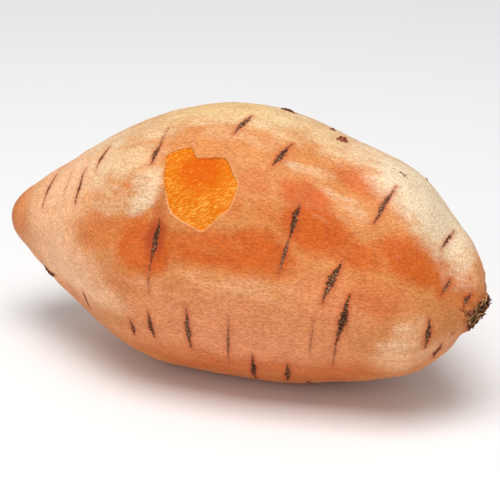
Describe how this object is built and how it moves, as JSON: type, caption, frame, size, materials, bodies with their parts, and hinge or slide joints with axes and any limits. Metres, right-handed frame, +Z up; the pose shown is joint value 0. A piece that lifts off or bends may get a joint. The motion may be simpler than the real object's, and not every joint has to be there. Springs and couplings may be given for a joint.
{
  "type": "sweet potato",
  "caption": "Plump spindle-shaped raw sweet potato with a blunt root tip, a rough stem scar, short cross-wise eye scars and a small patch of skin scraped down to the flesh.",
  "frame": {"origin": "on the surface the root lies on, under the middle of its bounding box", "axes": "+X along the root from its tip to the stem scar, +Z up, -Y towards the side with the scraped patch"},
  "size_m": [0.1596, 0.0816, 0.086],
  "materials": {
    "skin": "matt, finely grained orange-peach skin, creamier along the top, with dark corky scars"
  },
  "bodies": {
    "root": {"sweet_potato": "skin"}
  },
  "joints": []
}
